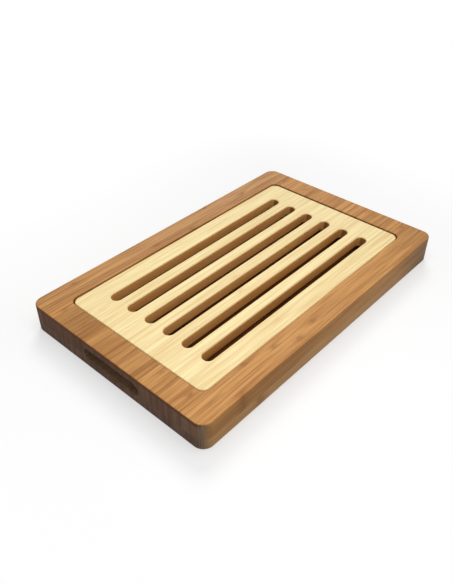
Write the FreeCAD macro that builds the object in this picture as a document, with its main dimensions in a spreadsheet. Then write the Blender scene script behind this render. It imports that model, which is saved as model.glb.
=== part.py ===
import FreeCAD, Part
import Sketcher
import math
import os

# Bread board of glued bamboo staves. A dark tray is made of two glued layers, a base and a frame
# on top of it, and a pale slatted panel lifts out of the frame. Crumbs fall through the slots of
# the panel into the well below it.
# Origin: middle of the underside. +X runs along the board and its grain, +Y across it, +Z up.

doc = FreeCAD.newDocument("BreadBoard")

# Driving sizes in millimetres
SIZES = [
    # the whole board
    ("board_length", 400),
    ("board_width", 250),
    ("base_thickness", 13),
    ("frame_thickness", 20),
    ("corner_radius", 12),
    ("top_edge_round", 1.2),
    ("foot_chamfer", 0.8),
    # how the tray is glued up from staves that stand on edge
    ("stave_count", 45),
    ("rail_stave_count", 5),
    ("planing_allowance", 3),
    # the opening in the frame and the ledge that carries the panel
    ("end_rail_length", 29),
    ("opening_radius", 9),
    ("opening_chamfer", 0.5),
    ("seat_depth", 12),
    ("ledge_width", 8),
    ("well_radius", 8),
    # the finger grip that is cut into each short end
    ("grip_length", 82),
    ("grip_height", 16),
    ("grip_depth", 11),
    ("grip_drop", 9.5),
    ("grip_chamfer", 1),
    # the slatted panel, which lies loose in the opening, pushed to the left and to the front
    ("near_gap", 0.4),
    ("far_gap", 2.6),
    ("panel_thickness", 12),
    ("panel_chamfer", 0.8),
    ("panel_stave_count", 36),
    ("slot_count", 6),
    ("slot_width", 12.7),
    ("staves_per_slot", 5),
    ("slot_end_margin", 31),
    ("slot_chamfer", 0.8),
]

sheet = doc.addObject("Spreadsheet::Sheet", "Sizes")
for row, (alias, number) in enumerate(SIZES, start=1):
    sheet.set(f"A{row}", alias)
    sheet.set(f"B{row}", str(number))
    sheet.setAlias(f"B{row}", alias)
doc.recompute()


def value(expression):
    """The number that an expression on the sheet gives."""
    return float(sheet.evalExpression(expression))


# Sizes that follow from the driving ones
BOARD_TOP = "(Sizes.base_thickness + Sizes.frame_thickness)"
STAVE_WIDTH = "(Sizes.board_width / Sizes.stave_count)"
OPENING_LENGTH = "(Sizes.board_length - 2 * Sizes.end_rail_length)"
OPENING_WIDTH = f"(Sizes.board_width - 2 * Sizes.rail_stave_count * {STAVE_WIDTH})"
LEDGE_HEIGHT = f"({BOARD_TOP} - Sizes.seat_depth)"
WELL_LENGTH = f"({OPENING_LENGTH} - 2 * Sizes.ledge_width)"
WELL_WIDTH = f"({OPENING_WIDTH} - 2 * Sizes.ledge_width)"
GRIP_MIDDLE = f"({BOARD_TOP} - Sizes.grip_drop - Sizes.grip_height / 2)"
PANEL_LENGTH = f"({OPENING_LENGTH} - Sizes.near_gap - Sizes.far_gap)"
PANEL_WIDTH = f"({OPENING_WIDTH} - Sizes.near_gap - Sizes.far_gap)"
PANEL_SHIFT = "((Sizes.near_gap - Sizes.far_gap) / 2)"
PANEL_TOP = f"({LEDGE_HEIGHT} + Sizes.panel_thickness)"
PANEL_STAVE_WIDTH = f"({PANEL_WIDTH} / Sizes.panel_stave_count)"
SLOT_LENGTH = f"({PANEL_LENGTH} - 2 * Sizes.slot_end_margin)"
SLOT_PITCH = f"(Sizes.staves_per_slot * {PANEL_STAVE_WIDTH})"
SLOT_SPREAD = f"((Sizes.slot_count - 1) * {SLOT_PITCH})"

# Two faces or points closer than this are taken as the same
SAME_PLACE = 1e-4


# Sketches
def origin_feature(body, role):
    for feature in body.Origin.OriginFeatures:
        if feature.Role == role:
            return feature
    raise ValueError(f"{body.Name} has no {role}")


def new_sketch(body, name, role, lift, shift="0"):
    """A sketch on one of the body's own origin planes, lifted off it and shifted along both axes."""
    sketch = body.newObject("Sketcher::SketchObject", name)
    sketch.AttachmentSupport = [(origin_feature(body, role), "")]
    sketch.MapMode = "FlatFace"
    for axis, offset in (("x", shift), ("y", shift), ("z", lift)):
        sketch.setExpression(f"AttachmentOffset.Base.{axis}", offset)
    return sketch


def constrain(sketch, name, expression, *arguments):
    """A named dimension that is bound to the sheet."""
    index = sketch.addConstraint(Sketcher.Constraint(*arguments, value(expression)))
    sketch.renameConstraint(index, name)
    sketch.setExpression(f"Constraints.{name}", expression)


def join_smoothly(sketch, curves):
    """Joins a closed chain of curves end to start, each tangent to the next."""
    for curve, following in zip(curves, curves[1:] + curves[:1]):
        sketch.addConstraint(Sketcher.Constraint("Tangent", curve, 2, following, 1))


def rounded_rectangle(sketch, length, width, radius):
    """A rectangle centred on the sketch's origin, with four equal round corners."""
    x = value(length) / 2
    y = value(width) / 2
    r = value(radius)
    turn = math.pi / 2
    corners = [(x - r, -y + r, -1), (x - r, y - r, 0), (-x + r, y - r, 1), (-x + r, -y + r, 2)]
    sides = [((-x + r, -y), (x - r, -y)), ((x, -y + r), (x, y - r)),
             ((x - r, y), (-x + r, y)), ((-x, y - r), (-x, -y + r))]
    chain = []
    for (start, end), (centre_x, centre_y, quarter) in zip(sides, corners):
        line = Part.LineSegment(FreeCAD.Vector(*start, 0), FreeCAD.Vector(*end, 0))
        chain.append(sketch.addGeometry(line, False))
        circle = Part.Circle(FreeCAD.Vector(centre_x, centre_y, 0), FreeCAD.Vector(0, 0, 1), r)
        arc = Part.ArcOfCircle(circle, quarter * turn, (quarter + 1) * turn)
        chain.append(sketch.addGeometry(arc, False))
    join_smoothly(sketch, chain)
    front, first_arc, right, second_arc, back, third_arc, left, fourth_arc = chain
    for line in (front, back):
        sketch.addConstraint(Sketcher.Constraint("Horizontal", line))
    for line in (right, left):
        sketch.addConstraint(Sketcher.Constraint("Vertical", line))
    for arc in (second_arc, third_arc, fourth_arc):
        sketch.addConstraint(Sketcher.Constraint("Equal", first_arc, arc))
    sketch.addConstraint(Sketcher.Constraint("Symmetric", first_arc, 3, third_arc, 3, -1, 1))
    constrain(sketch, "length", length, "DistanceX", left, 1, right, 1)
    constrain(sketch, "width", width, "DistanceY", front, 1, back, 1)
    constrain(sketch, "radius", radius, "Radius", first_arc)


def round_ended_slot(sketch, length, width, middle_y):
    """A slot along the sketch's X axis with half-round ends, at a height above that axis."""
    r = value(width) / 2
    x = value(length) / 2 - r
    y = value(middle_y)
    below = Part.LineSegment(FreeCAD.Vector(-x, y - r, 0), FreeCAD.Vector(x, y - r, 0))
    above = Part.LineSegment(FreeCAD.Vector(x, y + r, 0), FreeCAD.Vector(-x, y + r, 0))
    right_circle = Part.Circle(FreeCAD.Vector(x, y, 0), FreeCAD.Vector(0, 0, 1), r)
    left_circle = Part.Circle(FreeCAD.Vector(-x, y, 0), FreeCAD.Vector(0, 0, 1), r)
    chain = [
        sketch.addGeometry(below, False),
        sketch.addGeometry(Part.ArcOfCircle(right_circle, -math.pi / 2, math.pi / 2), False),
        sketch.addGeometry(above, False),
        sketch.addGeometry(Part.ArcOfCircle(left_circle, math.pi / 2, 1.5 * math.pi), False),
    ]
    join_smoothly(sketch, chain)
    lower_line, right_arc, upper_line, left_arc = chain
    sketch.addConstraint(Sketcher.Constraint("Horizontal", lower_line))
    sketch.addConstraint(Sketcher.Constraint("Equal", right_arc, left_arc))
    constrain(sketch, "half_run", f"({length} - {width}) / 2", "DistanceX", -1, 1, right_arc, 3)
    constrain(sketch, "run", f"{length} - {width}", "DistanceX", left_arc, 3, right_arc, 3)
    constrain(sketch, "middle", middle_y, "DistanceY", -1, 1, right_arc, 3)
    constrain(sketch, "radius", f"{width} / 2", "Radius", right_arc)


# Features
def pad(body, sketch, name, height):
    feature = body.newObject("PartDesign::Pad", name)
    feature.Profile = sketch
    feature.setExpression("Length", height)
    doc.recompute()
    return feature


def pocket(body, sketch, name, depth, reverse=False):
    """Cuts a sketch into the body, against the sketch's normal unless reversed."""
    before = body.Shape.Volume
    feature = body.newObject("PartDesign::Pocket", name)
    feature.Profile = sketch
    feature.Reversed = reverse
    feature.setExpression("Length", depth)
    doc.recompute()
    if feature.Shape.Volume > before - 1:
        raise RuntimeError(f"{name} cuts nothing")
    return feature


def flat_faces(shape, axis, place):
    """The flat faces of a shape that lie at one place along an axis, 0 for X to 2 for Z."""
    found = []
    for face in shape.Faces:
        if face.Surface.TypeId != "Part::GeomPlane":
            continue
        low = (face.BoundBox.XMin, face.BoundBox.YMin, face.BoundBox.ZMin)[axis]
        high = (face.BoundBox.XMax, face.BoundBox.YMax, face.BoundBox.ZMax)[axis]
        if abs(low - place) < SAME_PLACE and abs(high - place) < SAME_PLACE:
            found.append(face)
    return found


def rim(faces, outer):
    """The edges around some faces: their outer outline, or the outlines of their openings."""
    edges = []
    for face in faces:
        for wire in face.Wires:
            if wire.isSame(face.OuterWire) == outer:
                edges.extend(wire.Edges)
    return edges


def ease_edges(body, name, edges, dressing, size):
    """Fillets or chamfers the given edges of the body's last feature."""
    base = body.Tip
    names = []
    for number, edge in enumerate(base.Shape.Edges, start=1):
        if any(edge.isSame(other) for other in edges):
            names.append(f"Edge{number}")
    feature = body.newObject(f"PartDesign::{dressing}", name)
    feature.Base = (base, names)
    feature.setExpression({"Fillet": "Radius", "Chamfer": "Size"}[dressing], size)
    doc.recompute()


# The machined tray: the shape that the glued staves have together after routing. The outline and
# both pockets share round corners, and the two finger grips run through both glued layers.
tray = doc.addObject("PartDesign::Body", "TrayShape")
outline = new_sketch(tray, "TrayOutline", "XY_Plane", "0")
rounded_rectangle(outline, "Sizes.board_length", "Sizes.board_width", "Sizes.corner_radius")
pad(tray, outline, "TrayBlock", BOARD_TOP)

seat = new_sketch(tray, "SeatOutline", "XY_Plane", BOARD_TOP)
rounded_rectangle(seat, OPENING_LENGTH, OPENING_WIDTH, "Sizes.opening_radius")
pocket(tray, seat, "PanelSeat", "Sizes.seat_depth")

well = new_sketch(tray, "WellOutline", "XY_Plane", BOARD_TOP)
rounded_rectangle(well, WELL_LENGTH, WELL_WIDTH, "Sizes.well_radius")
pocket(tray, well, "CrumbWell", "Sizes.frame_thickness")

grip = new_sketch(tray, "GripOutline", "YZ_Plane", "-Sizes.board_length / 2")
round_ended_slot(grip, "Sizes.grip_length", "Sizes.grip_height", GRIP_MIDDLE)
left_grip = pocket(tray, grip, "LeftGrip", "Sizes.grip_depth", reverse=True)
both_grips = tray.newObject("PartDesign::Mirrored", "BothGrips")
both_grips.Originals = [left_grip]
both_grips.MirrorPlane = (origin_feature(tray, "YZ_Plane"), [""])
tray.Tip = both_grips
doc.recompute()

half_length = value("Sizes.board_length / 2")
board_top = value(BOARD_TOP)
ends = flat_faces(tray.Tip.Shape, 0, -half_length) + flat_faces(tray.Tip.Shape, 0, half_length)
ease_edges(tray, "GripEdge", rim(ends, False), "Chamfer", "Sizes.grip_chamfer")
top_rim = rim(flat_faces(tray.Tip.Shape, 2, board_top), True)
ease_edges(tray, "TopEdge", top_rim, "Fillet", "Sizes.top_edge_round")
foot_rim = rim(flat_faces(tray.Tip.Shape, 2, 0), True)
ease_edges(tray, "FootEdge", foot_rim, "Chamfer", "Sizes.foot_chamfer")
opening_rim = rim(flat_faces(tray.Tip.Shape, 2, board_top), False)
ease_edges(tray, "OpeningEdge", opening_rim, "Chamfer", "Sizes.opening_chamfer")

# The machined panel: a flat board that drops into the seat with play on all sides, its corners as
# round as the seat's, and round-ended slots routed through it.
panel = doc.addObject("PartDesign::Body", "PanelShape")
panel_outline = new_sketch(panel, "PanelOutline", "XY_Plane", LEDGE_HEIGHT, PANEL_SHIFT)
rounded_rectangle(panel_outline, PANEL_LENGTH, PANEL_WIDTH, "Sizes.opening_radius")
pad(panel, panel_outline, "PanelBlock", "Sizes.panel_thickness")

slot_outline = new_sketch(panel, "SlotOutline", "XY_Plane", PANEL_TOP, PANEL_SHIFT)
round_ended_slot(slot_outline, SLOT_LENGTH, "Sizes.slot_width", f"-{SLOT_SPREAD} / 2")
first_slot = pocket(panel, slot_outline, "FirstSlot", "Sizes.panel_thickness")
slots = panel.newObject("PartDesign::LinearPattern", "Slots")
slots.Originals = [first_slot]
slots.Direction = (origin_feature(panel, "Y_Axis"), [""])
slots.setExpression("Length", SLOT_SPREAD)
slots.setExpression("Occurrences", "Sizes.slot_count")
panel.Tip = slots
doc.recompute()

panel_top = value(PANEL_TOP)
slot_rims = rim(flat_faces(panel.Tip.Shape, 2, panel_top), False)
ease_edges(panel, "SlotEdges", slot_rims, "Chamfer", "Sizes.slot_chamfer")
panel_rim = rim(flat_faces(panel.Tip.Shape, 2, panel_top), True)
ease_edges(panel, "PanelEdge", panel_rim, "Chamfer", "Sizes.panel_chamfer")


# Cutting the machined shapes up again into the pieces that they were glued from
def trimmed(name, body, low_corner, high_corner):
    """What a body keeps inside a box, whose two corners are given as expressions."""
    box = doc.addObject("Part::Box", f"{name}_box")
    sides = zip(("Length", "Width", "Height"), "xyz", low_corner, high_corner)
    for side, axis, low, high in sides:
        box.setExpression(side, f"{high} - {low}")
        box.setExpression(f"Placement.Base.{axis}", low)
    kept = doc.addObject("Part::Common", name)
    kept.Base = body
    kept.Tool = box
    return kept


def strip_side(number, count, width):
    """Where the lower side of one of several equal strips lies, counted from 0 at the front."""
    side = f"({number} / {count} - 0.5) * {width}"
    if number == 0:
        return f"({side} - {ALLOWANCE})"
    if number == round(value(count)):
        return f"({side} + {ALLOWANCE})"
    return f"({side})"


# Every box stands clear of the finished faces, as a rough stave does before it is planed
ALLOWANCE = "Sizes.planing_allowance"
LEFT = f"(-Sizes.board_length / 2 - {ALLOWANCE})"
RIGHT = f"(Sizes.board_length / 2 + {ALLOWANCE})"
FRONT = f"(-Sizes.board_width / 2 - {ALLOWANCE})"
BACK = f"(Sizes.board_width / 2 + {ALLOWANCE})"
BELOW = f"(-{ALLOWANCE})"
ABOVE = f"({BOARD_TOP} + {ALLOWANCE})"
GLUE_LINE = "Sizes.base_thickness"

# The two layers, and the two halves of the frame layer, which the opening leaves as end rails
frame_layer = trimmed("FrameLayer", tray, (LEFT, FRONT, GLUE_LINE), (RIGHT, BACK, ABOVE))
base_layer = trimmed("BaseLayer", tray, (LEFT, FRONT, BELOW), (RIGHT, BACK, GLUE_LINE))
left_half = trimmed("LeftHalf", frame_layer, (LEFT, FRONT, BELOW), ("0", BACK, ABOVE))
right_half = trimmed("RightHalf", frame_layer, ("0", FRONT, BELOW), (RIGHT, BACK, ABOVE))


def tray_stave(name, layer, number):
    """One stave of the tray, standing on edge through the whole height of its layer."""
    front, back = (strip_side(n, "Sizes.stave_count", "Sizes.board_width") for n in (number, number + 1))
    return trimmed(name, layer, (LEFT, front, BELOW), (RIGHT, back, ABOVE))


def panel_stave(name, number):
    """One stave of the panel, wherever the panel lies in the opening."""
    front, back = (strip_side(n, "Sizes.panel_stave_count", PANEL_WIDTH) for n in (number, number + 1))
    low_corner = (LEFT, f"({front} + {PANEL_SHIFT})", BELOW)
    return trimmed(name, panel, low_corner, (RIGHT, f"({back} + {PANEL_SHIFT})", ABOVE))


nodes = []


def node(label, pieces):
    """Gives a finished piece, or a group of like pieces, the name of its file."""
    if len(pieces) == 1:
        item = pieces[0]
    else:
        item = doc.addObject("Part::Compound", f"{label}_group")
        item.Links = pieces
    item.Label = label
    nodes.append(item)


# Which staves do what, counted from the front
stave_count = round(value("Sizes.stave_count"))
stave_width = value(STAVE_WIDTH)
rail_staves = round(value("Sizes.rail_stave_count"))
ledge_staves = math.ceil(value("Sizes.ledge_width") / stave_width)
edge_staves = rail_staves + ledge_staves
grip_reach = value("Sizes.grip_length / 2")


def crosses_grip(number):
    middle = (number + 0.5 - stave_count / 2) * stave_width
    return abs(middle) < grip_reach


# Full-length staves of the frame, counted from the outside in: the long rails first, then the
# staves that are routed down to the ledge between the two ends
for number in range(edge_staves):
    if number < rail_staves:
        label = f"rail_stave_{number + 1}"
    else:
        label = f"ledge_stave_{number + 1 - rail_staves}"
    node(f"front_{label}", [tray_stave(f"cut_front_{label}", frame_layer, number)])
    opposite = stave_count - 1 - number
    node(f"back_{label}", [tray_stave(f"cut_back_{label}", frame_layer, opposite)])

# Short blocks of the end rails, which are what the opening leaves of the staves between the rails
between = range(edge_staves, stave_count - edge_staves)
grip_numbers = [number for number in between if crosses_grip(number)]
block_groups = {
    "front": [number for number in between if number < grip_numbers[0]],
    "grip": grip_numbers,
    "back": [number for number in between if number > grip_numbers[-1]],
}
for group, numbers in block_groups.items():
    for end, half in (("left", left_half), ("right", right_half)):
        blocks = [tray_stave(f"{end}_block_{number}", half, number) for number in numbers]
        node(f"{end}_end_{group}_blocks", blocks)

# Staves of the base layer, glued up under the frame
base_staves = [tray_stave(f"base_{number}", base_layer, number) for number in range(stave_count)]
inner = range(1, stave_count - 1)
node("base_front_edge_stave", base_staves[:1])
node("base_back_edge_stave", base_staves[-1:])
node("base_plain_staves", [base_staves[number] for number in inner if not crosses_grip(number)])
node("base_grip_staves", [base_staves[number] for number in inner if crosses_grip(number)])

# Staves of the panel. A stave that lies wholly in a slot is left as a short stub at each end.
panel_stave_count = round(value("Sizes.panel_stave_count"))
panel_stave_width = value(PANEL_STAVE_WIDTH)
slot_pitch = value(SLOT_PITCH)
slot_count = round(value("Sizes.slot_count"))
slot_middles = [(slot - (slot_count - 1) / 2) * slot_pitch for slot in range(slot_count)]
swallowed_reach = value("Sizes.slot_width / 2") - panel_stave_width / 2


def lies_in_slot(number):
    middle = (number + 0.5 - panel_stave_count / 2) * panel_stave_width
    return any(abs(middle - slot_middle) < swallowed_reach for slot_middle in slot_middles)


long_numbers = [number for number in range(panel_stave_count) if not lies_in_slot(number)]
for count, number in enumerate(long_numbers, start=1):
    node(f"panel_stave_{count:02d}", [panel_stave(f"cut_panel_{number}", number)])
stub_numbers = [number for number in range(panel_stave_count) if lies_in_slot(number)]
if stub_numbers:
    node("panel_end_stubs", [panel_stave(f"stub_{number}", number) for number in stub_numbers])

doc.recompute()

# Everything is sound before anything is written
for item in doc.Objects:
    if {"Invalid", "Error"} & set(item.State):
        raise RuntimeError(f"{item.Name} failed")
for item in nodes:
    if item.Shape.isNull() or not item.Shape.isValid() or not item.Shape.Solids:
        raise RuntimeError(f"{item.Label} has no sound shape")
for body, of_panel in ((tray, False), (panel, True)):
    pieces = [item for item in nodes if item.Label.startswith("panel_") == of_panel]
    if abs(sum(item.Shape.Volume for item in pieces) / body.Shape.Volume - 1) > 1e-6:
        raise RuntimeError(f"the pieces of {body.Name} don't add up to it")

os.makedirs("parts", exist_ok=True)
for item in nodes:
    item.Shape.exportStep(f"parts/{item.Label}.step")
solid_count = sum(len(item.Shape.Solids) for item in nodes)
print(f"{len(nodes)} nodes, {solid_count} solids")
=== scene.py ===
import bpy
import math
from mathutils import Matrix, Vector


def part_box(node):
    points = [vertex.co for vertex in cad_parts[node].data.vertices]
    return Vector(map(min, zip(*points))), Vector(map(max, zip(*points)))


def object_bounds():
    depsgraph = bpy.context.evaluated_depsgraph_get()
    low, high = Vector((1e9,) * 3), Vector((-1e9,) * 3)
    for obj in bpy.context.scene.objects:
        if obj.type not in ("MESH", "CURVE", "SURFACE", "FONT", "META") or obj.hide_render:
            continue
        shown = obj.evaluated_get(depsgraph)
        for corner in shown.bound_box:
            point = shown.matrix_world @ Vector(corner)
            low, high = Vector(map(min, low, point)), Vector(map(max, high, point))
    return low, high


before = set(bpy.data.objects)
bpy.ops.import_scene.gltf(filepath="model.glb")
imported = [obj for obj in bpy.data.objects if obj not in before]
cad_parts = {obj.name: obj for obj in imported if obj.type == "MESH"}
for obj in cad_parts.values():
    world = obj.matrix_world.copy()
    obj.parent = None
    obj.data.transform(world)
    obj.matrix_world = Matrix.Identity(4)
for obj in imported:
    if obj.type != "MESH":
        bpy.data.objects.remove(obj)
cad_low, cad_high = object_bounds()

# Base layer of the tray: 45 strips of carbonised (steamed) bamboo, glued up on edge side by side,
# sawn to length and oiled. The front one shows its flat side below the frame, and all of them end
# as dark end grain at the short sides.
STRIP_COUNT = 45
BOARD_FRONT = cad_low.y
STRIP_WIDTH = (cad_high.y - cad_low.y) / STRIP_COUNT


class Bench:
    """The node tree of one material, with short calls that lay out its nodes."""

    def __init__(self, name):
        self.material = bpy.data.materials.new(name)
        self.material.use_nodes = True
        self.tree = self.material.node_tree
        self.shader = self.tree.nodes["Principled BSDF"]

    def put(self, target, given):
        """Links a socket to the target, or sets the target to a plain value or colour."""
        if isinstance(given, bpy.types.NodeSocket):
            self.tree.links.new(given, target)
        elif hasattr(target.default_value, "__len__") and len(target.default_value) == 4:
            target.default_value = (*given, 1.0)
        else:
            target.default_value = given

    def node(self, kind, settings=(), **inputs):
        """Lays out one node with its settings, and fills the inputs named."""
        made = self.tree.nodes.new(kind)
        for name, choice in dict(settings).items():
            setattr(made, name, choice)
        for name, given in inputs.items():
            self.put(made.inputs[name.replace("_", " ")], given)
        return made

    def sum(self, operation, *given, clamp=False):
        """One step of arithmetic with numbers."""
        made = self.tree.nodes.new("ShaderNodeMath")
        made.operation = operation
        made.use_clamp = clamp
        for target, number in zip(made.inputs, given):
            self.put(target, number)
        return made.outputs[0]

    def move(self, operation, *given):
        """One step of arithmetic with places or directions."""
        made = self.tree.nodes.new("ShaderNodeVectorMath")
        made.operation = operation
        for target, number in zip(made.inputs, given):
            self.put(target, number)
        return made.outputs[0]

    def ramp(self, number, start, end, low=0.0, high=1.0):
        """Rises smoothly from low to high as the number goes from start to end."""
        made = self.node("ShaderNodeMapRange", {"interpolation_type": "SMOOTHSTEP"}, Value=number)
        for name, given in (("From Min", start), ("From Max", end), ("To Min", low), ("To Max", high)):
            made.inputs[name].default_value = given
        return made.outputs[0]

    def blend(self, share, first, second, kind="MIX"):
        """Goes from the first colour to the second as the share goes from 0 to 1."""
        made = self.tree.nodes.new("ShaderNodeMix")
        made.data_type = "RGBA"
        made.blend_type = kind
        self.put(made.inputs["Factor"], share)
        self.put(made.inputs["A"], first)
        self.put(made.inputs["B"], second)
        return made.outputs["Result"]

    def grain(self, place, size, detail=2.0, roughness=0.5):
        """Noise whose features have the given size along the strip, across it and up it."""
        stretched = self.move("MULTIPLY", place, tuple(1 / length for length in size))
        made = self.node("ShaderNodeTexNoise", Vector=stretched, Scale=1.0, Detail=detail,
                         Roughness=roughness)
        return made.outputs[0]


# Colours of the carbonised bamboo, of its cut and worn places, of the light and shade painted on some
# of them, and how it shines.
CARAMEL = (0.630, 0.312, 0.094)
TOFFEE = (0.322, 0.122, 0.023)
BURNT_FIBRE = (0.240, 0.090, 0.024)
KNOT_BROWN = (0.290, 0.115, 0.028)
OILED_EDGE = (0.150, 0.062, 0.027)
END_BROWN = (0.278, 0.164, 0.112)
END_PORE = (0.060, 0.032, 0.019)
# rounded corners: partly the colour of worn fibre ends, partly a painted sheen
WORN_AND_SHEEN_CORNER = (0.370, 0.278, 0.190)
# painted light for the inside of the finger grips
GRIP_PAINTED_LIGHT = (0.420, 0.268, 0.172)
# painted shade for the floor of the crumb well, under the panel
WELL_FLOOR_SHADE = (0.42, 0.44, 0.50)
# the darkening at the right end: darker wood, and painted shade on upright faces
RIGHT_DARKENING_BLACK = (0.0, 0.0, 0.0)
SATIN = 0.10
RELIEF_DEPTH = 0.00006

# Where the cutters have been, in metres from the board's middle or up from its underside, and how
# far they have burnished the opening's end walls. The grips' painted light stops short of their lips.
OPENING_END = 0.175
BURNISHED = 0.70
GRIP_START = 0.186
GRIP_REACH = 0.060
GRIP_HEIGHT = 0.0155
GRIP_HALF_HEIGHT = 0.0100
GRIP_LIP = 0.0012
FLOOR_ALLOWANCE = 0.001
well_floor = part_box("base_plain_staves")[1].z + FLOOR_ALLOWANCE

# A face on a glue line takes its strip from this far inside the wood.
CLEAR_OF_GLUE = 0.0003

# Sizes of the grain in metres: along the strip, across it and up it.
DRIFT_SIZE = (0.090, 0.004, 0.012)
STREAK_SIZE = (0.055, 0.0022, 0.0030)
FINE_FIBRE_SIZE = (0.045, 0.00022, 0.00030)
COARSE_FIBRE_SIZE = (0.060, 0.0009, 0.0012)
WOBBLE_SIZE = (0.020, 0.0008, 0.0012)
SOAK_SIZE = (0.05, 0.0035, 0.0035)
UPRIGHT_SIZE = (0.0011, 0.0011, 0.025)
MOTTLE_SIZE = (0.004, 0.0016, 0.0050)

# Knuckles: how far apart they lie on one culm, how long their core and their haze are, and how
# strongly they show where their place is given and where it is left to chance.
KNUCKLE_SPACING = 0.368
KNUCKLE_WOBBLE = 0.030
KNUCKLE_CORE = (0.0012, 0.0058)
KNUCKLE_HAZE = (0.0020, 0.0130)
HAZE_STRENGTH = 0.45
PLACED_STRENGTH = 0.72
CHANCE_STRENGTH = 0.50

# How far the darkening reaches from the right end (darker wood, with painted shade on upright faces),
# and how far oil soaks down from the top edge.
RIGHT_DARKENING_START = 0.11
RIGHT_DARKENING_END = 0.195
SOAK_FADE = 0.0052
SOAK_FULL = 0.0022
SOAK_UNEVEN = 0.005
SOAK_STRENGTH = 0.85

# A strip's tone: its own luck and its drifts darken it, and the bias keeps the whole pale.
LUCK_SHARE = 0.48
DRIFT_SHARE = 0.55
PALE_BIAS = 0.205


def strip_bamboo(name, pale, deep, fibre, knot, end, pore, front, width, batch, knuckle=None,
                 cut_wall=None, oiled_edge=None, fibre_share=0.50, right_darkening=None):
    """Bamboo glued up from strips on edge: each strip has its own tone, fibres and knuckles."""
    bench = Bench(name)
    where = bench.node("ShaderNodeTexCoord")
    facing = where.outputs["Normal"]
    sunk = bench.move("MULTIPLY", facing, (-CLEAR_OF_GLUE,) * 3)
    inside = bench.move("ADD", where.outputs["Object"], sunk)
    along, side, height = bench.node("ShaderNodeSeparateXYZ", Vector=inside).outputs
    tilt_x, tilt_y, tilt_z = bench.node("ShaderNodeSeparateXYZ", Vector=facing).outputs

    # which strip this is, how far across it, and three numbers of chance that belong to the strip
    count = bench.sum("DIVIDE", bench.sum("SUBTRACT", side, front), width)
    strip = bench.sum("FLOOR", count)
    across = bench.sum("FRACT", count)
    label = bench.node("ShaderNodeCombineXYZ", X=strip, Y=batch, Z=0.5).outputs[0]
    chance = bench.node("ShaderNodeTexWhiteNoise", {"noise_dimensions": "3D"}, Vector=label)
    tone_luck, shift_luck, turn_luck = bench.node(
        "ShaderNodeSeparateColor", Color=chance.outputs["Color"]).outputs
    luck = bench.move("SCALE", chance.outputs["Color"])
    luck.node.inputs["Scale"].default_value = 3.0
    place = bench.move("ADD", inside, luck)

    # the strip's tone, with slow drifts along it and broad soft streaks
    drift = bench.grain(place, DRIFT_SIZE, 3.0)
    broad = bench.grain(place, STREAK_SIZE, 2.0)
    tone = bench.sum("ADD", bench.sum("MULTIPLY", tone_luck, LUCK_SHARE),
                     bench.ramp(drift, 0.32, 0.68, 0.0, DRIFT_SHARE))
    sideways = bench.ramp(bench.sum("ABSOLUTE", tilt_y), 0.5, 0.9)
    streaks = bench.sum("MULTIPLY", bench.ramp(broad, 0.35, 0.70, -0.18, 0.28),
                        bench.sum("MULTIPLY_ADD", sideways, -0.7, 1.0))
    tone = bench.sum("ADD", tone, streaks)
    tone = bench.sum("SUBTRACT", tone, PALE_BIAS, clamp=True)
    colour = bench.blend(tone, pale, deep)

    # fibres run the length of the strip and crowd towards what was the outside of the culm
    fine = bench.grain(place, FINE_FIBRE_SIZE, 3.0, 0.6)
    coarse = bench.grain(place, COARSE_FIBRE_SIZE, 2.0)
    mirrored = bench.sum("SUBTRACT", 1.0, across)
    outer = bench.node("ShaderNodeMix", Factor=bench.sum("GREATER_THAN", turn_luck, 0.5),
                       A=across, B=mirrored).outputs[0]
    crowding = bench.sum("MULTIPLY_ADD", outer, 0.65, 0.35)
    threads = bench.sum("MULTIPLY", bench.ramp(fine, 0.47, 0.66), crowding)
    threads = bench.sum("ADD", threads, bench.ramp(coarse, 0.45, 0.75, 0.0, 0.45))
    threads = bench.sum("MULTIPLY", threads, fibre_share, clamp=True)
    colour = bench.blend(threads, colour, fibre)

    # knuckles: the joints of the culm, sawn through, show as short smoky streaks along the strip;
    # a strip with a given knuckle has it there, and the others have theirs where chance puts it
    if knuckle is None:
        offset = bench.sum("MULTIPLY", shift_luck, KNUCKLE_SPACING)
    else:
        offset = -knuckle + KNUCKLE_SPACING / 2
    wobble = bench.grain(place, WOBBLE_SIZE, 3.0, 0.6)
    shifted = bench.sum("ADD", along, bench.sum(
        "MULTIPLY_ADD", wobble, KNUCKLE_WOBBLE, -KNUCKLE_WOBBLE / 2))
    turns = bench.sum("DIVIDE", bench.sum("ADD", shifted, offset), KNUCKLE_SPACING)
    away = bench.sum("ABSOLUTE", bench.sum("SUBTRACT", bench.sum("FRACT", turns), 0.5))
    away = bench.sum("MULTIPLY", away, KNUCKLE_SPACING)
    core = bench.ramp(away, *KNUCKLE_CORE, 1.0, 0.0)
    haze = bench.ramp(away, *KNUCKLE_HAZE, HAZE_STRENGTH, 0.0)
    if knuckle is None:
        strength = bench.ramp(turn_luck, 0.35, 0.95, 0.0, CHANCE_STRENGTH)
    else:
        strength = PLACED_STRENGTH
    band = bench.sum("MULTIPLY", bench.sum("MAXIMUM", core, haze), strength)
    colour = bench.blend(band, colour, knot)

    # some strips darken towards the right end, their upright sides more than their tops: darker wood,
    # and on the upright sides painted shade as well
    if right_darkening:
        on_top, on_side = right_darkening
        darkening_depth = bench.sum("MULTIPLY_ADD", sideways, on_side - on_top, on_top)
        darkened = bench.sum("MULTIPLY", bench.ramp(along, RIGHT_DARKENING_START, RIGHT_DARKENING_END), darkening_depth)
        colour = bench.blend(darkened, colour, RIGHT_DARKENING_BLACK)

    # a hair of glue between two strips
    seam = bench.sum("MINIMUM", across, mirrored)
    glue = bench.ramp(seam, 0.010, 0.030, 0.30, 0.0)
    colour = bench.blend(glue, colour, fibre)

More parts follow.
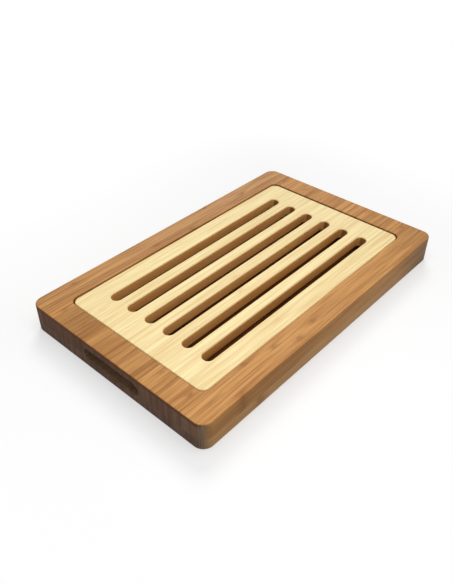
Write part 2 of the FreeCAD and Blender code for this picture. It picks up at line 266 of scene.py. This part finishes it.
    # end grain: pores in a darker ground, darkest near the top edge, which has drunk more oil
    endwise = bench.sum("ABSOLUTE", tilt_x)
    flat_place = bench.move("MULTIPLY", place, (0.02, 1.0, 0.75))
    pores = bench.node("ShaderNodeTexVoronoi", Vector=flat_place, Scale=1500.0, Randomness=0.9)
    dots = bench.ramp(pores.outputs["Distance"], 0.20, 0.45, 1.0, 0.0)
    dots = bench.sum("MULTIPLY", dots, crowding)
    darkness = bench.sum("MULTIPLY_ADD", tone_luck, 0.42, bench.sum("MULTIPLY", tone, 0.22))
    darkness = bench.sum("MULTIPLY_ADD", outer, 0.30, darkness)
    ground = bench.blend(darkness, end, tuple(0.45 * part for part in end))
    ground = bench.blend(bench.sum("MULTIPLY", dots, 0.70), ground, pore)
    ground = bench.blend(bench.sum("MULTIPLY", glue, 1.6), ground, pore)
    if oiled_edge:
        soak = bench.grain(place, SOAK_SIZE, 2.0)
        uneven = bench.sum("MULTIPLY_ADD", soak, SOAK_UNEVEN, -SOAK_UNEVEN / 2)
        reach = bench.sum("ADD", height, uneven)
        soaked = bench.ramp(reach, cad_high.z - SOAK_FADE, cad_high.z - SOAK_FULL, 0.0, SOAK_STRENGTH)
        ground = bench.blend(soaked, ground, oiled_edge)
    from_middle = bench.sum("ABSOLUTE", along)
    end_share = bench.ramp(endwise, 0.70 if cut_wall else 0.35, 0.90)

    # the cutter has burnished the end walls of the tray's opening, so their pores hardly show
    if not cut_wall:
        burnished = bench.sum("LESS_THAN", from_middle, OPENING_END)
        open_pores = bench.sum("MULTIPLY_ADD", burnished, -BURNISHED, 1.0)
        end_share = bench.sum("MULTIPLY", end_share, open_pores)
    colour = bench.blend(end_share, colour, ground)

    # a rounded corner is paler and greyer in upright streaks: partly its worn, dry fibre ends, partly
    # a painted sheen
    if oiled_edge:
        rounded = bench.sum("MULTIPLY", bench.ramp(endwise, 0.05, 0.75, 0.0, 0.66),
                            bench.ramp(endwise, 0.86, 0.995, 1.0, 0.0))
        upright_face = bench.ramp(bench.sum("ABSOLUTE", tilt_z), 0.1, 0.5, 1.0, 0.0)
        rounded = bench.sum("MULTIPLY", rounded, upright_face)
        upright = bench.grain(place, UPRIGHT_SIZE, 2.0)
        wear_and_sheen = bench.sum("MULTIPLY", rounded, bench.ramp(upright, 0.36, 0.64, 0.28, 1.0))
        wear_and_sheen = bench.sum("MULTIPLY", wear_and_sheen, bench.sum("GREATER_THAN", from_middle, GRIP_START))
        colour = bench.blend(wear_and_sheen, colour, WORN_AND_SHEEN_CORNER)

    # the inside of a finger grip is routed; its colour is painted paler and mottled, which is painted
    # light against the shade in the recess
    in_grip = bench.sum("MULTIPLY", bench.sum("GREATER_THAN", from_middle, GRIP_START),
                        bench.sum("LESS_THAN", from_middle, cad_high.x - GRIP_LIP))
    level_with_grip = bench.sum("COMPARE", height, GRIP_HEIGHT, GRIP_HALF_HEIGHT)
    in_grip = bench.sum("MULTIPLY", in_grip, level_with_grip)
    in_reach = bench.sum("LESS_THAN", bench.sum("ABSOLUTE", side), GRIP_REACH)
    in_grip = bench.sum("MULTIPLY", in_grip, in_reach)
    mottle = bench.ramp(bench.grain(place, MOTTLE_SIZE, 3.0, 0.6), 0.32, 0.68)
    torn_fibres = bench.sum("MULTIPLY", threads, 0.30)
    rough = bench.sum("MULTIPLY_ADD", mottle, 0.85, torn_fibres, clamp=True)
    painted_grip_light = bench.blend(rough, GRIP_PAINTED_LIGHT, tuple(0.50 * part for part in GRIP_PAINTED_LIGHT))
    colour = bench.blend(in_grip, colour, painted_grip_light)

    # what the router leaves: slot walls are scorched to a tan; the well's floor is painted darker,
    # which is painted shade down in the well
    if cut_wall:
        wall = bench.ramp(bench.sum("ABSOLUTE", tilt_z), 0.50, 0.86, 1.0, 0.0)
        colour = bench.blend(wall, colour, cut_wall, "MULTIPLY")
    else:
        painted_well_shade = bench.sum("MULTIPLY", bench.ramp(tilt_z, 0.5, 0.9),
                           bench.sum("LESS_THAN", height, well_floor))
        painted_well_shade = bench.sum("SUBTRACT", painted_well_shade, in_grip, clamp=True)
        colour = bench.blend(painted_well_shade, colour, WELL_FLOOR_SHADE, "MULTIPLY")

    # satin oil: fibres take it in and stay a little duller, end grain more so
    gloss = bench.sum("MULTIPLY_ADD", threads, 0.16, 0.44)
    gloss = bench.sum("ADD", gloss, bench.ramp(endwise, 0.5, 0.95, 0.0, 0.20))
    pits = bench.sum("MULTIPLY", dots, bench.sum("MULTIPLY", endwise, -0.6))
    relief = bench.sum("MULTIPLY_ADD", threads, -1.0, pits)
    bump = bench.node("ShaderNodeBump", Strength=0.35, Distance=RELIEF_DEPTH, Height=relief)
    bench.put(bench.shader.inputs["Base Color"], colour)
    bench.put(bench.shader.inputs["Roughness"], gloss)
    bench.put(bench.shader.inputs["Normal"], bump.outputs[0])
    bench.shader.inputs["Specular IOR Level"].default_value = SATIN
    return bench.material


def carbonised(name, batch, knuckle=None, pale=CARAMEL, deep=TOFFEE, end=END_BROWN, right_darkening=None):
    """The dark bamboo of the tray, steamed before it is glued up."""
    return strip_bamboo(name, pale, deep, BURNT_FIBRE, KNOT_BROWN, end, END_PORE, BOARD_FRONT,
                        STRIP_WIDTH, batch, knuckle, oiled_edge=OILED_EDGE, right_darkening=right_darkening)


def finish_node(name, material):
    """Gives a piece its material all over."""
    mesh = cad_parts[name].data
    mesh.materials.clear()
    mesh.materials.append(material)


# The batch number gives one layer its own chances. The darkening at the right end is what a strip's
# top and its upright side take: darker wood, and on the upright side painted shade as well. The
# front strip of the base is painted paler than the others, as painted light bounced up from the table.
BASE_BATCH = 11.0
BASE_FRONT_KNUCKLE = -0.124
BASE_FRONT_RIGHT_DARKENING = (0.0, 0.64)
# painted light: the base's front strip is lighter, as if lit by the table's bounce
BOUNCE_LIT_CARAMEL = (0.685, 0.385, 0.158)
BOUNCE_LIT_TOFFEE = (0.545, 0.288, 0.112)
base_bamboo = carbonised("base_bamboo", BASE_BATCH)
for name in ("base_plain_staves", "base_grip_staves", "base_back_edge_stave"):
    finish_node(name, base_bamboo)
finish_node("base_front_edge_stave", carbonised(
    "base_front_bamboo", BASE_BATCH, BASE_FRONT_KNUCKLE, BOUNCE_LIT_CARAMEL, BOUNCE_LIT_TOFFEE,
    right_darkening=BASE_FRONT_RIGHT_DARKENING))

# Frame layer, long rails: five full-length strips on each side of the opening, of the same dark
# bamboo as the base and glued down on it. Each strip has a knuckle of its own, the front rail is
# darker at its right end, partly darker wood and partly painted shade on its upright face, and the
# back rail is a little duller.
FRAME_BATCH = 23.0
FRONT_KNUCKLES = (-0.148, -0.056, -0.026, -0.081, -0.118)
BACK_KNUCKLES = (0.060, -0.150, 0.118, -0.040, 0.015)
FRONT_RIGHT_DARKENING = (0.20, 0.45)
FRAME_END = (0.262, 0.132, 0.078)
FRONT_END = (0.334, 0.188, 0.115)
BACK_CARAMEL = (0.582, 0.303, 0.108)
BACK_TOFFEE = (0.298, 0.118, 0.027)
for side, knuckles, tones, right_darkening in (
        ("front", FRONT_KNUCKLES, (CARAMEL, TOFFEE, FRONT_END), FRONT_RIGHT_DARKENING),
        ("back", BACK_KNUCKLES, (BACK_CARAMEL, BACK_TOFFEE, FRAME_END), None)):
    for number, knuckle in enumerate(knuckles, start=1):
        name = f"{side}_rail_stave_{number}"
        finish_node(name, carbonised(f"{name}_bamboo", FRAME_BATCH, knuckle, *tones, right_darkening=right_darkening))

# Frame layer, ledge strips and end rails: two more full-length strips on each side, routed down to
# the ledge in the middle, and the short blocks that the opening leaves of the strips between them.
# The runs of blocks differ in tone and grow darker towards the back of the left end, which is painted
# shade; their end grain is warmer than the base's.
LEDGE_KNUCKLES = {"front_ledge_stave_2": -0.178, "back_ledge_stave_2": -0.183}
FRONT_BLOCK_END = (0.290, 0.155, 0.095)
BACK_BLOCK_END = (0.228, 0.114, 0.062)
# painted shade: the left end's blocks darken from front to back
BLOCK_TONE_AND_SHADE = {
    "left_end_front_blocks": (0.97, FRONT_BLOCK_END),
    "left_end_grip_blocks": (0.88, FRAME_END),
    "left_end_back_blocks": (0.72, BACK_BLOCK_END),
    "right_end_front_blocks": (0.94, FRONT_BLOCK_END),
}
frame_bamboo = carbonised("frame_bamboo", FRAME_BATCH, end=FRAME_END)
for name in ("back_ledge_stave_1", "right_end_grip_blocks", "right_end_back_blocks"):
    finish_node(name, frame_bamboo)
finish_node("front_ledge_stave_1", carbonised("front_ledge_bamboo", FRAME_BATCH, end=FRONT_END))
for name, knuckle in LEDGE_KNUCKLES.items():
    end = FRONT_END if name.startswith("front") else FRAME_END
    finish_node(name, carbonised(f"{name}_bamboo", FRAME_BATCH, knuckle, end=end))
for name, (tone_and_shade, end) in BLOCK_TONE_AND_SHADE.items():
    pale, deep = (tuple(tone_and_shade * part for part in colour) for colour in (CARAMEL, TOFFEE))
    finish_node(name, carbonised(f"{name}_bamboo", FRAME_BATCH, None, pale, deep, end))

# Slatted panel: 36 strips of natural, pale bamboo, glued up on edge, planed to 12 mm and routed
# through with six slots. It lies loose on the ledge and lifts out.
PANEL_STRIP_COUNT = 36
CREAM = (0.945, 0.795, 0.432)
STRAW = (0.780, 0.562, 0.255)
STRAW_FIBRE = (0.620, 0.410, 0.160)
HONEY_KNOT = (0.700, 0.480, 0.210)
PALE_END = (0.560, 0.400, 0.190)
PALE_PORE = (0.260, 0.160, 0.065)
SCORCH = (0.82, 0.575, 0.385)
PANEL_BATCH = 37.0
panel_names = [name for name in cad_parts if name.startswith("panel_")]
panel_front = min(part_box(name)[0].y for name in panel_names)
panel_back = max(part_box(name)[1].y for name in panel_names)
panel_bamboo = strip_bamboo(
    "panel_bamboo", CREAM, STRAW, STRAW_FIBRE, HONEY_KNOT, PALE_END, PALE_PORE, panel_front,
    (panel_back - panel_front) / PANEL_STRIP_COUNT, PANEL_BATCH, cut_wall=SCORCH, fibre_share=0.35)
for name in panel_names:
    finish_node(name, panel_bamboo)

# The table under the board: a wide pale sheet, white to the eye, that gives back only part of the
# light, so that the sides of the board stay darker than its top.
TABLE_REACH = 4.0
TABLE_GREY = (0.42, 0.42, 0.42)
TABLE_WHITE = (0.96, 0.96, 0.96)
NEAR_WHITE = 0.55
FADE_START = 0.02
FADE_END = 0.22
ANY_HEIGHT = 9.0
DULL_ROUGHNESS = 0.9
DULL_SHINE = 0.1

# The board stands a hair above the sheet, so that the two flat faces don't flicker.
HAIR_GAP = 0.00005
table_mesh = bpy.data.meshes.new("table_top")
corners = [
    (x * TABLE_REACH, y * TABLE_REACH, cad_low.z - HAIR_GAP)
    for x, y in ((-1, -1), (1, -1), (1, 1), (-1, 1))
]
table_mesh.from_pydata(corners, [], [(0, 1, 2, 3)])
table = bpy.data.objects.new("table_top", table_mesh)
bpy.context.scene.collection.objects.link(table)
table_bench = Bench("table_white")
rays = table_bench.node("ShaderNodeLightPath").outputs
mirrored = table_bench.sum("MAXIMUM", rays["Is Glossy Ray"], rays["Is Transmission Ray"])
seen = table_bench.sum("MAXIMUM", rays["Is Camera Ray"], mirrored)
table_colour = table_bench.blend(seen, TABLE_GREY, TABLE_WHITE)
table_bench.put(table_bench.shader.inputs["Base Color"], table_colour)

# Away from the board the sheet fades to plain white, by its distance from the board's outline.
spot = table_bench.node("ShaderNodeTexCoord").outputs["Object"]
spot = table_bench.move("ABSOLUTE", spot)
beyond = table_bench.move("SUBTRACT", spot, (cad_high.x, cad_high.y, ANY_HEIGHT))
beyond = table_bench.move("MAXIMUM", beyond, (0.0, 0.0, 0.0))
reach = table_bench.move("LENGTH", beyond).node.outputs["Value"]
whiteness = table_bench.ramp(reach, FADE_START, FADE_END, NEAR_WHITE, 1.0)
far_off = table_bench.sum("MULTIPLY", whiteness, seen)
white_light = table_bench.node("ShaderNodeEmission", Strength=1.0)
fade = table_bench.node("ShaderNodeMixShader", Fac=far_off)
surface = table_bench.tree.nodes["Material Output"].inputs["Surface"]
table_bench.tree.links.new(table_bench.shader.outputs[0], fade.inputs[1])
table_bench.tree.links.new(white_light.outputs[0], fade.inputs[2])
table_bench.tree.links.new(fade.outputs[0], surface)
table_bench.shader.inputs["Roughness"].default_value = DULL_ROUGHNESS
table_bench.shader.inputs["Specular IOR Level"].default_value = DULL_SHINE
table_mesh.materials.append(table_bench.material)

# Soft studio light: a broad key from behind on the right, a weak fill from the front on the right,
# a soft box over the near corner and an even grey sky. The eye sees the sky as white.
SKY_LEVEL = 0.30
KEY_FROM = (0.77, 0.63, 1.03)
KEY_STRENGTH = 1.35
KEY_SPREAD = 24
FILL_FROM = (0.55, -0.80, 0.45)
FILL_STRENGTH = 0.46
FILL_SPREAD = 60
BOX_SIZE = 0.45
BOX_POWER = 2.4
BOX_PLACE = (-0.12, -0.13, 0.75)
world = bpy.data.worlds.new("studio")
world.use_nodes = True
bpy.context.scene.world = world
sky = world.node_tree.nodes["Background"]
sky.inputs["Color"].default_value = (1.0, 1.0, 1.0, 1.0)
paths = world.node_tree.nodes.new("ShaderNodeLightPath")
direct = paths.outputs["Is Camera Ray"]
for also in ("Is Glossy Ray", "Is Transmission Ray"):
    either = world.node_tree.nodes.new("ShaderNodeMath")
    either.operation = "MAXIMUM"
    world.node_tree.links.new(direct, either.inputs[0])
    world.node_tree.links.new(paths.outputs[also], either.inputs[1])
    direct = either.outputs[0]
level = world.node_tree.nodes.new("ShaderNodeMapRange")
level.inputs["To Min"].default_value = SKY_LEVEL
world.node_tree.links.new(direct, level.inputs["Value"])
world.node_tree.links.new(level.outputs[0], sky.inputs["Strength"])


def lamp(name, source, strength, spread):
    """A distant soft lamp that shines from the given direction."""
    light = bpy.data.lights.new(name, "SUN")
    light.energy = strength
    light.angle = math.radians(spread)
    holder = bpy.data.objects.new(name, light)
    holder.rotation_euler = Vector(source).to_track_quat("Z", "Y").to_euler()
    bpy.context.scene.collection.objects.link(holder)


lamp("key_lamp", KEY_FROM, KEY_STRENGTH, KEY_SPREAD)
lamp("fill_lamp", FILL_FROM, FILL_STRENGTH, FILL_SPREAD)
box_light = bpy.data.lights.new("soft_box", "AREA")
box_light.shape = "SQUARE"
box_light.size = BOX_SIZE
box_light.energy = BOX_POWER
soft_box = bpy.data.objects.new("soft_box", box_light)
soft_box.location = BOX_PLACE
bpy.context.scene.collection.objects.link(soft_box)

# The camera looks down over the near left corner. Distances are shares of the board's length.
CAMERA_TURN = math.radians(-47.814)
CAMERA_RISE = math.radians(38.596)
CAMERA_DISTANCE = 1.6683
LOOK_AT = (-0.1251, -0.0371)
FOCAL_PIXELS = 624.9
IMAGE_HEIGHT = 584
CLIP_START = 0.01
board_length = cad_high.x - cad_low.x
target = Vector((LOOK_AT[0] * board_length, LOOK_AT[1] * board_length, cad_high.z))
back = Vector((
    math.sin(CAMERA_TURN) * math.cos(CAMERA_RISE),
    -math.cos(CAMERA_TURN) * math.cos(CAMERA_RISE),
    math.sin(CAMERA_RISE),
))
lens = bpy.data.cameras.new("camera")
lens.lens = lens.sensor_width * FOCAL_PIXELS / IMAGE_HEIGHT
lens.clip_start = CLIP_START
camera = bpy.data.objects.new("camera", lens)
camera.location = target + back * CAMERA_DISTANCE * board_length
camera.rotation_euler = back.to_track_quat("Z", "Y").to_euler()
bpy.context.scene.collection.objects.link(camera)
bpy.context.scene.camera = camera
bpy.context.scene.view_settings.view_transform = "Standard"
